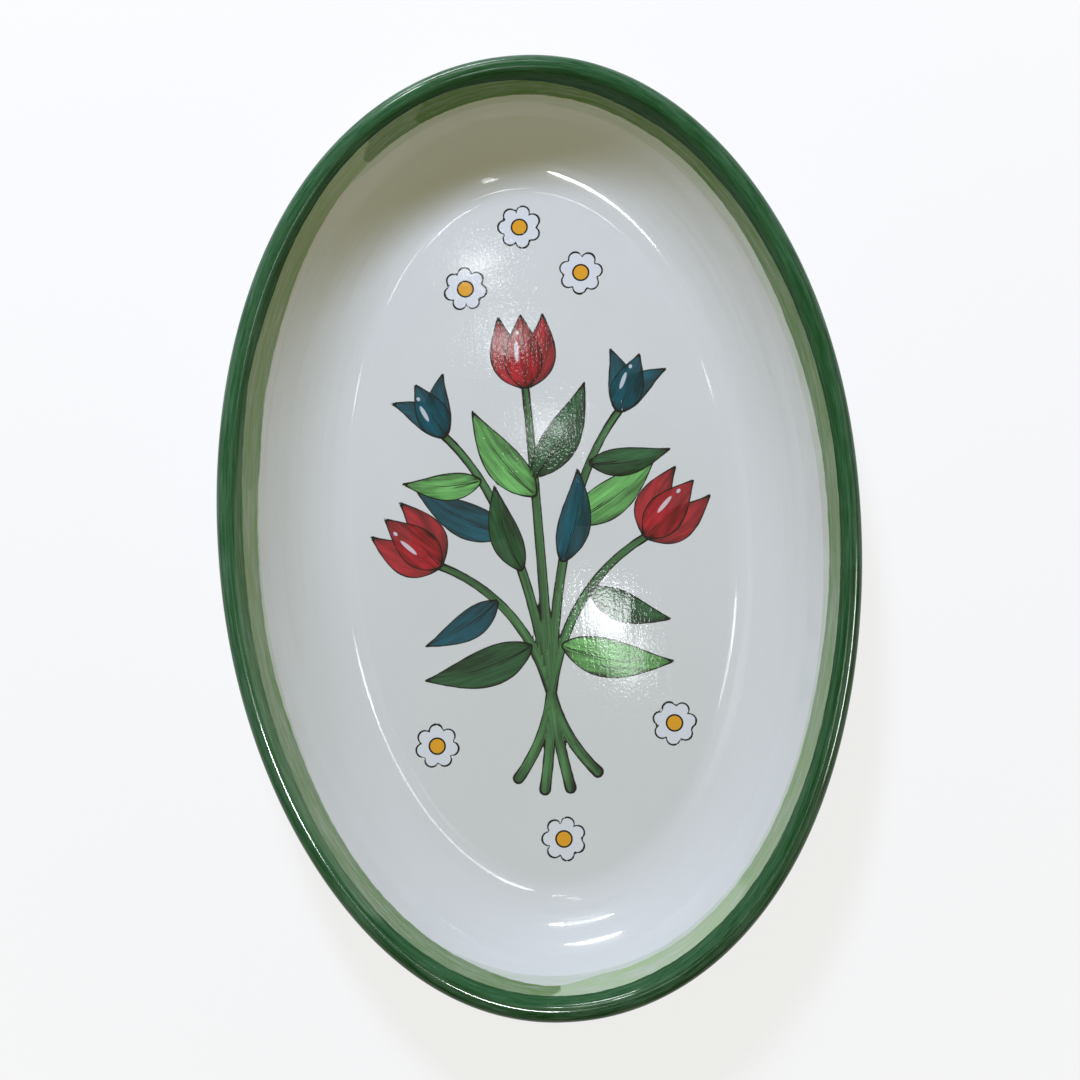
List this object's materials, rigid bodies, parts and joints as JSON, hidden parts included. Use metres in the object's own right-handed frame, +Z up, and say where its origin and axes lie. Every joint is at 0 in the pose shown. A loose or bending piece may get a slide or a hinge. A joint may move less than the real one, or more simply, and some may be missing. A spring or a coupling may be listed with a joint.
{
  "type": "oval tray",
  "caption": "Oval serving tray in glazed earthenware, with a flat floor, a flared side wall, a rounded lip and a foot ring to stand on.",
  "frame": {"origin": "middle of the tray on the surface that it stands on", "axes": "+Y along the tray's length, +X across its width, +Z up out of the open side"},
  "size_m": [0.239, 0.36, 0.046],
  "materials": {
    "floor_glaze": "glossy white glaze",
    "wall_glaze": "glossy cream-white glaze",
    "rim_glaze": "glossy brushed green glaze",
    "bare_clay": "matt unglazed clay"
  },
  "bodies": {
    "root": {"floor": "floor_glaze", "wall": "wall_glaze", "rim": "rim_glaze", "foot_ring": "bare_clay"}
  },
  "joints": []
}
